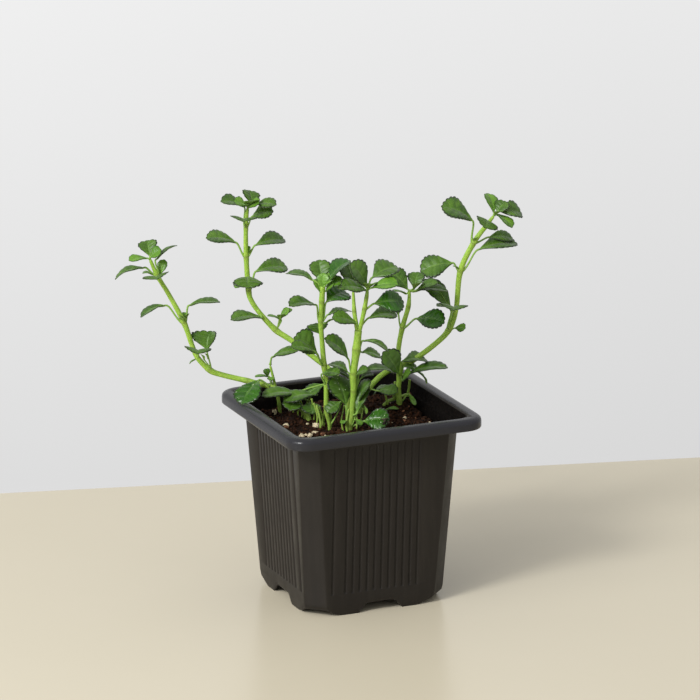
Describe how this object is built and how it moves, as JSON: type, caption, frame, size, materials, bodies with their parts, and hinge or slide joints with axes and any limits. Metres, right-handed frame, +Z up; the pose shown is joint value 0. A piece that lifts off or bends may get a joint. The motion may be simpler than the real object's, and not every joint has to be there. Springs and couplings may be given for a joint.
{
  "type": "potted foliage plant",
  "caption": "Small square fluted nursery pot with soil and a leafy branching plant sold as baby tears: fleshy stems with paired, scalloped round leaves.",
  "frame": {"origin": "on the ground under the middle of the box round the whole object, plant included, so the pot's own axis is 4.0 mm towards +X and 6.5 mm towards -Y from it", "axes": "+Z up; X and Y square to the pot's sides, with the plant's widest spread along X"},
  "size_m": [0.1933, 0.1162, 0.1977],
  "materials": {
    "pot_black_plastic": "satin",
    "potting_mix": "matte",
    "stem_green": "satin",
    "leaf_green": "satin",
    "leaf_young": "satin"
  },
  "bodies": {
    "root": {"leaf_back_left_1": "leaf_green", "leaf_back_left_2": "leaf_green", "leaf_back_left_3": "leaf_green", "leaf_back_left_4": "leaf_green", "leaf_back_left_5": "leaf_green", "leaf_back_left_6": "leaf_green", "leaf_back_left_7": "leaf_green", "leaf_back_left_8": "leaf_young", "leaf_back_left_9": "leaf_green", "leaf_centre_1": "leaf_green", "leaf_centre_2": "leaf_green", "leaf_centre_3": "leaf_green", "leaf_centre_4": "leaf_green", "leaf_centre_5": "leaf_green", "leaf_centre_left_1": "leaf_young", "leaf_centre_right_1": "leaf_green", "leaf_centre_right_2": "leaf_green", "leaf_centre_right_3": "leaf_green", "leaf_centre_right_4": "leaf_green", "leaf_centre_right_5": "leaf_young", "leaf_front_1": "leaf_green", "leaf_front_2": "leaf_green", "leaf_front_3": "leaf_green", "leaf_front_4": "leaf_green", "leaf_front_5": "leaf_young", "leaf_front_6": "leaf_green", "leaf_left_1": "leaf_green", "leaf_left_2": "leaf_green", "leaf_left_3": "leaf_green", "leaf_left_4": "leaf_green", "leaf_left_5": "leaf_green", "leaf_left_6": "leaf_green", "leaf_left_7": "leaf_young", "leaf_left_8": "leaf_green", "leaf_low_1": "leaf_green", "leaf_low_2": "leaf_green", "leaf_right_1": "leaf_green", "leaf_right_2": "leaf_green", "leaf_right_3": "leaf_green", "leaf_right_4": "leaf_young", "leaf_sprout_1": "leaf_green", "leaf_tall_1": "leaf_green", "leaf_tall_2": "leaf_green", "leaf_tall_3": "leaf_green", "leaf_tall_4": "leaf_green", "leaf_tall_5": "leaf_green", "leaf_tall_6": "leaf_green", "leaf_tall_7": "leaf_young", "leaf_tall_8": "leaf_green", "pot": "pot_black_plastic", "soil": "potting_mix", "stem_back_left": "stem_green", "stem_centre": "stem_green", "stem_centre_left": "stem_green", "stem_centre_right": "stem_green", "stem_front": "stem_green", "stem_left": "stem_green", "stem_right": "stem_green", "stem_sprout": "stem_green", "stem_tall": "stem_green"}
  },
  "joints": []
}
